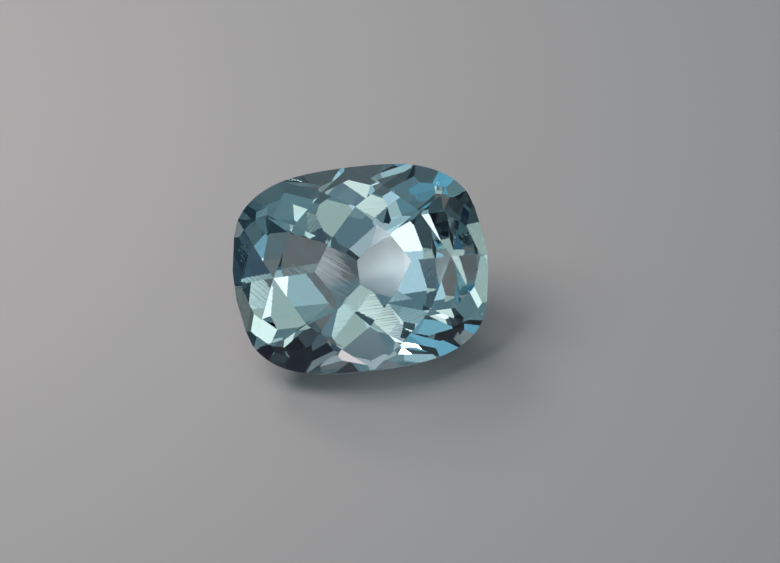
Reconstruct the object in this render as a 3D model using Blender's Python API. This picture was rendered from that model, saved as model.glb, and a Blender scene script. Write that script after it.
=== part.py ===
# Cushion-cut topaz gemstone: one piece of clear crystal, faceted all over.
#
# Lengths are in millimetres and angles in degrees until the finished stone is scaled to metres.
# The stone is cut in its own frame: +X along its length, +Y across it, and +Z up through the table,
# with the upper edge of the girdle near zero.  It is then turned to lie on one long pavilion facet,
# with the origin under the centre of its box, on the surface it rests on.

import math

import bmesh
import bpy
from mathutils import Matrix, Vector

METRES_PER_MM = 0.001

# Outline, seen through the table: |x / half length| ^ power + |y / half width| ^ power = 1.
LENGTH = 10.0
WIDTH = 8.0
OUTLINE_POWER = 3.0
OUTLINE_SIDES = 96

# Rough blank, tall enough for every cut.
BLANK_TOP = 2.0
BLANK_BOTTOM = -5.0

# Crown.  Heights are above the frame's zero, and each meet point is given by its place in plan.
TABLE_HEIGHT = 1.40
SIDE_SLOPE = 33.0
TABLE_SIDE = (0.0, 2.35)
TABLE_CORNER = (1.2, 1.1)
TABLE_END = (1.9, 0.0)
SIDE_MEET = (1.2, 3.1)
CORNER_MEET = (2.45, 1.95)
END_MEET = (3.5, 0.0)
OUTER_MEET = (3.35, 2.4)

# Meet points on the girdle's upper edge, as steps of the outline from the end at +X.
STEPS_TO_END_BREAK = 8
STEPS_TO_CORNER_BREAK = 14
STEPS_TO_SIDE_BREAK = 18
SIDE_BREAK_HEIGHT = 0.0
END_HEIGHT = -0.25

# Pavilion, one quarter of it, in tiers.  A tier's facets are spread evenly from its first azimuth to its
# last, and so are their slopes and the heights where their planes meet the outline.
REST_SLOPE = 42.5
PAVILION_TIERS = (
    # facets, first and last azimuth, first and last slope, first and last height
    (3, (0.0, 60.0), (36.0, 40.0), (-0.57, -0.70)),       # mains, the first of them down to the culet
    (3, (15.0, 75.0), (42.0, 46.0), (-0.40, -0.60)),      # breaks between the mains
    (6, (7.5, 82.5), (46.0, 51.0), (-0.30, -0.45)),       # girdle facets
    (4, (90.0, 90.0), (REST_SLOPE, 63.5), (-0.98, -0.59)),  # steps up the long side, the lowest to rest on
)

# A corner this close to a cutting plane lies on it.
ON_PLANE = 1e-5

TOPAZ_COLOUR = (0.80, 0.90, 0.88, 1.0)
TOPAZ_ROUGHNESS = 0.02
TOPAZ_INDEX = 1.62


def signed_power(value, power):
    return math.copysign(abs(value) ** power, value)


def outline_point(angle):
    """Point of the cushion outline at a parameter angle, 0 at +X and 90 at +Y."""
    turn = math.radians(angle)
    power = 2 / OUTLINE_POWER
    return (LENGTH / 2 * signed_power(math.cos(turn), power),
            WIDTH / 2 * signed_power(math.sin(turn), power))


def outline_support(azimuth):
    """Point where a straight edge facing the azimuth would touch the outline."""
    turn = math.radians(azimuth)
    power = 1 / (OUTLINE_POWER - 1)
    share_x = signed_power(math.cos(turn) * LENGTH / 2, power)
    share_y = signed_power(math.sin(turn) * WIDTH / 2, power)
    size = (abs(share_x) ** OUTLINE_POWER + abs(share_y) ** OUTLINE_POWER) ** (1 / OUTLINE_POWER)
    return LENGTH / 2 * share_x / size, WIDTH / 2 * share_y / size


def plane_through(first, second, third):
    """Crown plane through three points, as a unit normal that points up and an offset along it."""
    normal = (second - first).cross(third - first).normalized()
    if normal.z < 0:
        normal.negate()
    return normal, normal.dot(first)


def plane_at(point, azimuth, slope):
    """Plane through a point that faces the azimuth and slopes that much from level, up or down."""
    turn = math.radians(azimuth)
    tilt = math.radians(slope)
    normal = Vector((math.sin(tilt) * math.cos(turn), math.sin(tilt) * math.sin(turn), math.cos(tilt)))
    return normal, normal.dot(point)


def lift(place, plane):
    """Point of a plane above or below a place in plan."""
    normal, offset = plane
    x, y = place
    return Vector((x, y, (offset - normal.x * x - normal.y * y) / normal.z))


def crown_quarter():
    """Crown planes of the quarter with x and y positive, each set by meet points cut before it."""
    step = 360 / OUTLINE_SIDES
    table = (Vector((0, 0, 1)), TABLE_HEIGHT)
    table_side = lift(TABLE_SIDE, table)
    table_corner = lift(TABLE_CORNER, table)
    table_end = lift(TABLE_END, table)

    side_main = plane_at(table_side, 90, SIDE_SLOPE)
    side_meet = lift(SIDE_MEET, side_main)
    side_star = plane_through(table_side, table_corner, side_meet)
    corner_meet = lift(CORNER_MEET, side_star)
    end_star = plane_through(table_corner, table_end, corner_meet)
    end_meet = lift(END_MEET, end_star)

    side_rim = lift(outline_point(90), side_main)
    break_x, break_y = outline_point(STEPS_TO_SIDE_BREAK * step)
    side_break = Vector((break_x, break_y, SIDE_BREAK_HEIGHT))
    side_girdle = plane_through(side_meet, side_rim, side_break)
    corner_main = plane_through(side_meet, corner_meet, side_break)
    outer_meet = lift(OUTER_MEET, corner_main)
    end_main = plane_through(corner_meet, end_meet, outer_meet)

    corner_break = lift(outline_point(STEPS_TO_CORNER_BREAK * step), corner_main)
    end_break = lift(outline_point(STEPS_TO_END_BREAK * step), end_main)
    corner_girdle = plane_through(outer_meet, corner_break, end_break)
    end_rim = Vector((LENGTH / 2, 0, END_HEIGHT))
    end_girdle = plane_through(end_meet, end_break, end_rim)
    return (table, side_main, side_star, end_star, side_girdle, corner_main, end_main,
            corner_girdle, end_girdle)


def pavilion_quarter():
    """Pavilion planes of the quarter with x and y positive."""
    planes = []
    for count, azimuths, slopes, heights in PAVILION_TIERS:
        for place in range(count):
            share = place / (count - 1)
            azimuth, slope, height = (first + (last - first) * share
                                      for first, last in (azimuths, slopes, heights))
            start = Vector((*outline_support(azimuth), height))
            planes.append(plane_at(start, azimuth, 180 - slope))
    return tuple(planes)


def mirrored(planes):
    """The planes in all four quarters, with a plane on a mirror line kept once."""
    result = []
    for normal, offset in planes:
        for across_x in (1, -1):
            for across_y in (1, -1):
                turned = Vector((normal.x * across_x, normal.y * across_y, normal.z))
                if all((turned - other).length > ON_PLANE for other, _ in result):
                    result.append((turned, offset))
    return result


def make_blank():
    """Upright cylinder pressed to the cushion outline."""
    stone = bmesh.new()
    bmesh.ops.create_cone(stone, cap_ends=True, segments=OUTLINE_SIDES, radius1=1, radius2=1, depth=1)
    for corner in stone.verts:
        angle = math.degrees(math.atan2(corner.co.y, corner.co.x))
        corner.co.x, corner.co.y = outline_point(angle)
        corner.co.z = BLANK_TOP if corner.co.z > 0 else BLANK_BOTTOM
    return stone


def cut_facet(stone, plane):
    """Grind away all that lies outside the plane and close the cut with one flat face."""
    normal, offset = plane
    everything = stone.verts[:] + stone.edges[:] + stone.faces[:]
    cut = bmesh.ops.bisect_plane(stone, geom=everything, dist=ON_PLANE, plane_co=normal * offset,
                                 plane_no=normal, clear_outer=True)
    rim = [item for item in cut["geom_cut"] if isinstance(item, bmesh.types.BMEdge)]
    bmesh.ops.edgeloop_fill(stone, edges=rim)


def lay_down(stone):
    """Turn the stone onto its long pavilion facet and stand its box on the origin."""
    bmesh.ops.rotate(stone, verts=stone.verts, matrix=Matrix.Rotation(math.radians(REST_SLOPE), 3, "X"))
    low = [min(corner.co[axis] for corner in stone.verts) for axis in range(3)]
    high = [max(corner.co[axis] for corner in stone.verts) for axis in range(3)]
    shift = Vector((-(low[0] + high[0]) / 2, -(low[1] + high[1]) / 2, -low[2]))
    bmesh.ops.translate(stone, verts=stone.verts, vec=shift)


def make_material():
    material = bpy.data.materials.new("topaz")
    material.use_nodes = True
    shader = material.node_tree.nodes["Principled BSDF"]
    shader.inputs["Base Color"].default_value = TOPAZ_COLOUR
    shader.inputs["Roughness"].default_value = TOPAZ_ROUGHNESS
    shader.inputs["Metallic"].default_value = 0.0
    shader.inputs["IOR"].default_value = TOPAZ_INDEX
    shader.inputs["Transmission Weight"].default_value = 1.0
    material.diffuse_color = TOPAZ_COLOUR
    return material


def make_topaz(collection):
    stone = make_blank()
    for plane in mirrored(crown_quarter() + pavilion_quarter()):
        cut_facet(stone, plane)
    lay_down(stone)
    bmesh.ops.scale(stone, verts=stone.verts, vec=Vector((1, 1, 1)) * METRES_PER_MM)
    bmesh.ops.recalc_face_normals(stone, faces=stone.faces)

    mesh = bpy.data.meshes.new("topaz")
    stone.to_mesh(mesh)
    stone.free()
    mesh.materials.append(make_material())
    topaz = bpy.data.objects.new("topaz", mesh)
    collection.objects.link(topaz)


def main():
    for leftover in list(bpy.data.objects):
        bpy.data.objects.remove(leftover)
    collection = bpy.data.collections.new("topaz_gemstone")
    bpy.context.scene.collection.children.link(collection)
    make_topaz(collection)


main()
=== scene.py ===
import math

import bpy
from mathutils import Matrix, Vector


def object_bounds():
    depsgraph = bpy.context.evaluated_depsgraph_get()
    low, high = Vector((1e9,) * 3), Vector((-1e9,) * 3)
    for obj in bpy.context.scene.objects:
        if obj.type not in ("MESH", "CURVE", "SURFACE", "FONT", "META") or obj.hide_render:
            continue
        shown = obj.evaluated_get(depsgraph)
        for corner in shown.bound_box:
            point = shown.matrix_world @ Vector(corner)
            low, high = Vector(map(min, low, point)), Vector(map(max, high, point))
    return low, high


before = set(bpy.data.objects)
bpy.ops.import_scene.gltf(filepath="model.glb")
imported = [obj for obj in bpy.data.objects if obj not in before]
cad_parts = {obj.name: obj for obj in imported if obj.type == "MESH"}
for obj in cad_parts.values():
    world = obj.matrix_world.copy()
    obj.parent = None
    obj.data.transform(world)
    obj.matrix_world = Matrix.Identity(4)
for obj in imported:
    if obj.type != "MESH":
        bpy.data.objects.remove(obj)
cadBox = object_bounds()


def newMaterial(name):
    material = bpy.data.materials.new(name)
    material.use_nodes = True
    material.node_tree.nodes.clear()
    return material


class Socket:
    # wraps one output socket, so that shader maths reads as plain arithmetic
    def __init__(self, graph, link):
        self.graph = graph
        self.link = link

    def maths(self, operation, *values):
        return self.graph.add("ShaderNodeMath", dict(operation=operation), *values)

    def __add__(self, other):
        return self.maths("ADD", self, other)

    def __radd__(self, other):
        return self.maths("ADD", other, self)

    def __mul__(self, other):
        return self.maths("MULTIPLY", self, other)

    def __rmul__(self, other):
        return self.maths("MULTIPLY", other, self)


class Graph:
    def __init__(self, tree):
        self.tree = tree

    def node(self, kind, settings=None, *ordered, **named):
        # adds a node, then its settings, then the values or links of its inputs by place or by name
        made = self.tree.nodes.new(kind)
        for key, value in (settings or {}).items():
            setattr(made, key, value)
        named = {name.replace("_", " "): value for name, value in named.items()}
        for place, value in [*enumerate(ordered), *named.items()]:
            if isinstance(value, Socket):
                self.tree.links.new(value.link, made.inputs[place])
            elif value is not None:
                made.inputs[place].default_value = value
        return made

    def add(self, kind, settings=None, *ordered, output=0, **named):
        return Socket(self, self.node(kind, settings, *ordered, **named).outputs[output])


# The stone lies on a long pavilion facet, so its table leans towards the camera.
stone = dict(
    restSlope=42.5,                # angle between the pavilion facet it lies on and the girdle, degrees
    refraction=1.62,
    tint=(0.60, 0.84, 0.87),       # what is left of white light after one absorption length
    absorptionPerMetre=75.0,
    girdleRoughness=0.30,          # the girdle is ground, not polished
    girdleTolerance=0.05,          # cosine that still counts as square to the stone's upright axis
    girdleGrain=4000.0,            # grains per metre
    grainDetail=3.0,
    grainRange=(0.85, 1.15),       # the girdle's roughness varies by these factors
    polishLines=(200.0, 9000.0, 500.0),  # fine polish lines along each axis, per metre
    polishDetail=2.0,
    polishDepth=0.00000035,        # metres
)


def onGirdle(graph):
    # 1 where the surface runs along the stone's own upright axis, which only the ground girdle does
    lean = math.radians(stone["restSlope"])
    axis = (0.0, -math.sin(lean), math.cos(lean))
    facing = graph.add("ShaderNodeNewGeometry", output="Normal")
    along = graph.add("ShaderNodeVectorMath", dict(operation="DOT_PRODUCT"), facing, axis,
                      output="Value")
    return along.maths("COMPARE", along, 0.0, stone["girdleTolerance"])


def makeTopazMaterial():
    material = newMaterial("topaz crystal")
    graph = Graph(material.node_tree)
    place = graph.add("ShaderNodeTexCoord", output="Object")
    grain = graph.add("ShaderNodeTexNoise", None, place,
                      Scale=stone["girdleGrain"], Detail=stone["grainDetail"])
    least, most = stone["grainRange"]
    ground = stone["girdleRoughness"] * ((most - least) * grain + least)
    along = graph.add("ShaderNodeMapping", None, place, Scale=stone["polishLines"])
    lines = graph.add("ShaderNodeTexNoise", None, along, Scale=1.0, Detail=stone["polishDetail"])
    marks = graph.add("ShaderNodeBump", None, Height=lines, Distance=stone["polishDepth"])
    surface = graph.add(
        "ShaderNodeBsdfPrincipled", None,
        Base_Color=(1.0, 1.0, 1.0, 1.0), Roughness=onGirdle(graph) * ground, IOR=stone["refraction"],
        Transmission_Weight=1.0, Normal=marks)
    body = graph.add("ShaderNodeVolumeAbsorption", None,
                     Color=(*stone["tint"], 1.0), Density=stone["absorptionPerMetre"])
    graph.node("ShaderNodeOutputMaterial", None, Surface=surface, Volume=body)
    return material


def dressStone():
    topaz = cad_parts["topaz"]
    material = makeTopazMaterial()
    for place in topaz.material_slots:
        place.material = material
    print("stone dressed")


studio = dict(
    floorColour=(0.50, 0.455, 0.445),
    floorRoughness=0.7,
    floorSize=2.0,                 # metres
    floorGap=0.00002,              # metres between the floor and the stone
)


def makeFloor():
    half = studio["floorSize"] / 2
    mesh = bpy.data.meshes.new("floor")
    mesh.from_pydata([(-half, -half, 0), (half, -half, 0), (half, half, 0), (-half, half, 0)], [],
                     [(0, 1, 2, 3)])
    floor = bpy.data.objects.new("floor", mesh)
    bpy.context.scene.collection.objects.link(floor)
    floor.location.z = -studio["floorGap"]
    material = newMaterial("pale floor")
    graph = Graph(material.node_tree)
    surface = graph.add("ShaderNodeBsdfPrincipled", None,
                        Base_Color=(*studio["floorColour"], 1.0), Roughness=studio["floorRoughness"])
    graph.node("ShaderNodeOutputMaterial", None, Surface=surface)
    mesh.materials.append(material)
    print("floor laid")


def direction(azimuth, elevation):
    # unit vector from the stone: azimuth 0 is in front of it, 90 to the left and 180 behind
    turn = math.radians(azimuth)
    rise = math.radians(elevation)
    return Vector((-math.sin(turn) * math.cos(rise), -math.cos(turn) * math.cos(rise), math.sin(rise)))


# Rectangular lamps, each seen from the stone in the direction that its angles give, in degrees.
softBoxes = {
    "window": dict(azimuth=160, elevation=35, distance=0.5, width=0.12, height=0.12,
                   colour=(1.0, 1.0, 1.0), radiance=9.0),
    "key": dict(azimuth=122, elevation=56, distance=0.065, width=0.04, height=0.04,
                colour=(1.0, 0.93, 0.89), radiance=4.2, mirrored=False),
}


def softBox(name, azimuth, elevation, distance, width, height, colour, radiance, mirrored=True):
    # rectangular lamp that faces the stone
    away = direction(azimuth, elevation)
    light = bpy.data.lights.new(name, "AREA")
    light.shape = "RECTANGLE"
    light.size = width
    light.size_y = height
    light.color = colour
    light.energy = radiance * math.pi * width * height    # watts that give that radiance
    lamp = bpy.data.objects.new(name, light)
    lamp.location = away * distance
    lamp.rotation_euler = away.to_track_quat("Z", "Y").to_euler()
    lamp.visible_glossy = mirrored
    lamp.visible_transmission = mirrored
    bpy.context.scene.collection.objects.link(lamp)


glow = dict(
    azimuth=180,
    elevation=40,
    distance=0.030,                # metres from the place it lights
    place=(0.0012, 0.0034, 0.0),
    cone=5.5,                      # degrees
    softness=0.001,                # radius of the lamp, metres
    colour=(0.70, 0.90, 1.0),
    power=0.11,                    # watts
)


def floorGlow(azimuth, elevation, distance, place, cone, softness, colour, power):
    # small spot lamp on the floor behind the stone, where the light that comes through the stone gathers
    light = bpy.data.lights.new("floor glow", "SPOT")
    light.color = colour
    light.energy = power
    light.spot_size = math.radians(cone)
    light.spot_blend = 1.0
    light.shadow_soft_size = softness
    lamp = bpy.data.objects.new("floor glow", light)
    away = direction(azimuth, elevation)
    lamp.location = Vector(place) + away * distance
    lamp.rotation_euler = away.to_track_quat("Z", "Y").to_euler()
    lamp.visible_glossy = False
    lamp.visible_transmission = False
    bpy.context.scene.collection.objects.link(lamp)


sky = dict(
    strength=1.0,
    overhead=(0.14, 0.22, 0.245),
    low=(0.007, 0.008, 0.012),
    rise=(0.35, 0.75),             # heights, as sines, between which low turns to overhead
    backdrop=(0.60, 0.58, 0.56),
)

# Round patches of the surroundings that the facets pick up, each laid over those above it.  Angles are in
# degrees.
skyPatches = {
    "blue wall": dict(azimuth=105, elevation=45, radius=28, softness=14, colour=(0.15, 0.42, 0.58)),
    "dark wall": dict(azimuth=258, elevation=30, radius=25, softness=12, colour=(0.0, 0.0, 0.01)),
    "back wall": dict(azimuth=180, elevation=48, radius=26, softness=12, colour=(0.40, 0.46, 0.50)),
    "back window": dict(azimuth=148, elevation=35, radius=5, softness=3, colour=(0.70, 0.82, 0.90)),
    "rosy window": dict(azimuth=198, elevation=59, radius=2, softness=1, colour=(0.95, 0.78, 0.80)),
    "left ceiling": dict(azimuth=62, elevation=54, radius=13, softness=6, colour=(0.12, 0.20, 0.245)),
    "brown wall": dict(azimuth=327, elevation=38, radius=13, softness=4, colour=(0.165, 0.15, 0.15)),
    "gap": dict(azimuth=349, elevation=40, radius=6, softness=2, colour=(0.05, 0.07, 0.10)),
    "right wall": dict(azimuth=309, elevation=47, radius=5, softness=3, colour=(0.13, 0.19, 0.22)),
    "right ceiling": dict(azimuth=341, elevation=58, radius=10, softness=4, colour=(0.42, 0.50, 0.47)),
    "pale ceiling": dict(azimuth=11, elevation=57, radius=9, softness=3, colour=(0.86, 0.93, 0.88)),
    "top pane": dict(azimuth=0, elevation=67, radius=5, softness=3, colour=(1.05, 1.15, 1.10)),
    "upper pane": dict(azimuth=5, elevation=62, radius=4, softness=1, colour=(0.58, 0.66, 0.62)),
    "beam": dict(azimuth=1, elevation=48.5, radius=5.5, softness=0.6, colour=(0.085, 0.105, 0.13)),
    "right pane": dict(azimuth=346, elevation=48, radius=4, softness=2, colour=(0.80, 0.96, 0.96)),
    "low pane": dict(azimuth=354, elevation=43.5, radius=2.5, softness=1, colour=(0.40, 0.48, 0.44)),
    "side light": dict(azimuth=33, elevation=46, radius=8, softness=3, colour=(0.55, 0.72, 0.82)),
    "side pane": dict(azimuth=331, elevation=49.5, radius=4, softness=1.5, colour=(0.38, 0.50, 0.53)),
    "lower side pane": dict(azimuth=334, elevation=41, radius=2.2, softness=1, colour=(0.36, 0.44, 0.46)),
    "gap shade": dict(azimuth=348, elevation=43, radius=2, softness=1, colour=(0.15, 0.20, 0.24)),
    "crown pane": dict(azimuth=352, elevation=55.5, radius=2.5, softness=1, colour=(0.42, 0.52, 0.50)),
    "high pane": dict(azimuth=26, elevation=60, radius=4, softness=2, colour=(0.46, 0.58, 0.60)),
    "shade": dict(azimuth=356, elevation=49.5, radius=3.5, softness=1.5, colour=(0.13, 0.20, 0.24)),
    "dark corner": dict(azimuth=345, elevation=75.5, radius=4, softness=2, colour=(0.02, 0.045, 0.07)),
    "turquoise wall": dict(azimuth=37, elevation=27, radius=6, softness=3, colour=(0.22, 0.46, 0.58)),
    "side lamp": dict(azimuth=46, elevation=37, radius=4, softness=2, colour=(0.40, 0.56, 0.62)),
    "turquoise pane": dict(azimuth=87, elevation=55, radius=4, softness=2, colour=(0.25, 0.52, 0.66)),
    "slot": dict(azimuth=3.2, elevation=51.3, radius=1.3, softness=0.5, colour=(0.02, 0.035, 0.055)),
    "blue gap": dict(azimuth=14, elevation=39.5, radius=4.5, softness=1.5, colour=(0.04, 0.11, 0.17)),
    "front light": dict(azimuth=27, elevation=36, radius=7.5, softness=2, colour=(1.40, 1.42, 1.45)),
    "behind the camera": dict(azimuth=3, elevation=38, radius=5.5, softness=2, colour=(0.008, 0.02, 0.04)),
    "left low pane": dict(azimuth=7.2, elevation=34.6, radius=2, softness=0.8, colour=(0.44, 0.50, 0.54)),
    "front lamp": dict(azimuth=5.5, elevation=39, radius=0.9, softness=0.4, colour=(0.20, 0.40, 0.48)),
    "left spark": dict(azimuth=7.8, elevation=40.1, radius=0.25, softness=0.1, colour=(0.50, 0.95, 1.05)),
    "right spark": dict(azimuth=2.6, elevation=38.4, radius=0.2, softness=0.1, colour=(0.50, 0.95, 1.05)),
    "wall lamp": dict(azimuth=108.7, elevation=45.9, radius=0.8, softness=0.8, colour=(0.95, 1.35, 1.45)),
    "low spark": dict(azimuth=327.5, elevation=12, radius=0.5, softness=0.5, colour=(0.10, 0.11, 0.13)),
    "low wall": dict(azimuth=36, elevation=11, radius=6, softness=3, colour=(0.22, 0.46, 0.60)),
    "low light": dict(azimuth=23.5, elevation=14.5, radius=6, softness=5, colour=(0.50, 0.72, 0.80)),
}


def roundPatch(graph, way, azimuth, elevation, radius, softness):
    # 1 inside a cone of directions, 0 outside it, with a soft edge; angles in degrees
    near = graph.add("ShaderNodeVectorMath", dict(operation="DOT_PRODUCT"), way,
                     direction(azimuth, elevation), output="Value")
    edges = [math.cos(math.radians(radius + step)) for step in (softness / 2, -softness / 2)]
    return graph.add("ShaderNodeMapRange", dict(interpolation_type="SMOOTHSTEP"), near, *edges)


def mixColours(graph, factor, first, second):
    # the Mix node's colours are its inputs 6 and 7 and its output 2
    mixed = graph.node("ShaderNodeMix", dict(data_type="RGBA"), Factor=factor)
    for place, value in ((6, first), (7, second)):
        if isinstance(value, Socket):
            graph.tree.links.new(value.link, mixed.inputs[place])
        else:
            mixed.inputs[place].default_value = (*value, 1.0)
    return Socket(graph, mixed.outputs[2])


def skyGlow(graph):
    # dark low down, pale overhead, with the patches laid over both in order
    way = graph.add("ShaderNodeTexCoord", output="Generated")
    height = graph.add("ShaderNodeSeparateXYZ", None, way, output="Z")
    overhead = graph.add("ShaderNodeMapRange", dict(interpolation_type="SMOOTHSTEP"), height,
                         *sky["rise"])
    colour = mixColours(graph, overhead, sky["low"], sky["overhead"])
    for patch in skyPatches.values():
        shape = {key: patch[key] for key in ("azimuth", "elevation", "radius", "softness")}
        colour = mixColours(graph, roundPatch(graph, way, **shape), colour, patch["colour"])
    return colour


def makeLights():
    world = bpy.data.worlds.new("studio")
    world.use_nodes = True
    bpy.context.scene.world = world
    world.node_tree.nodes.clear()
    graph = Graph(world.node_tree)
    around = graph.add("ShaderNodeBackground", None, skyGlow(graph), sky["strength"])
    plain = graph.add("ShaderNodeBackground", None, (*sky["backdrop"], 1.0), sky["strength"])
    seen = graph.add("ShaderNodeLightPath", None, output="Is Camera Ray")
    mixed = graph.add("ShaderNodeMixShader", None, seen, around, plain)
    graph.node("ShaderNodeOutputWorld", None, mixed)
    for name, box in softBoxes.items():
        softBox(name, **box)
    floorGlow(**glow)
    print("studio lit")


camera = dict(
    elevation=43.8,                # degrees above the floor
    azimuth=5.3,                   # degrees round from straight ahead
    roll=3.4,
    distance=0.200,                # metres from the stone
    frameWidth=0.0306,             # metres seen across at the stone
    aimRight=0.00114,              # the stone sits a little left of and above the middle
    aimDown=0.00043,
    sensor=36.0,                   # millimetres
    nearest=0.01,                  # metres, the nearest and farthest that it sees
    farthest=5.0,
)


def makeCamera():
    low, high = cadBox
    roll = math.radians(camera["roll"])
    back = direction(camera["azimuth"], camera["elevation"])
    level = back.to_track_quat("Z", "Y").to_matrix()
    right, up = level.col[0].copy(), level.col[1].copy()
    rolledRight = right * math.cos(roll) - up * math.sin(roll)
    rolledUp = up * math.cos(roll) + right * math.sin(roll)
    turn = Matrix((rolledRight, rolledUp, back)).transposed()

    data = bpy.data.cameras.new("camera")
    data.sensor_width = camera["sensor"]
    data.lens = data.sensor_width * camera["distance"] / camera["frameWidth"]
    data.clip_start = camera["nearest"]
    data.clip_end = camera["farthest"]
    eye = bpy.data.objects.new("camera", data)
    centre = (low + high) / 2
    aim = centre + rolledRight * camera["aimRight"] - rolledUp * camera["aimDown"]
    eye.matrix_world = Matrix.Translation(aim + back * camera["distance"]) @ turn.to_4x4()
    bpy.context.scene.collection.objects.link(eye)
    bpy.context.scene.camera = eye
    print("camera set")


render = dict(
    bounces=24,
    glossyBounces=12,
    viewTransform="Standard",
)


def setRender():
    scene = bpy.context.scene
    scene.cycles.max_bounces = render["bounces"]
    scene.cycles.transmission_bounces = render["bounces"]
    scene.cycles.glossy_bounces = render["glossyBounces"]
    scene.view_settings.view_transform = render["viewTransform"]


makeCamera()
makeFloor()
makeLights()
dressStone()
setRender()
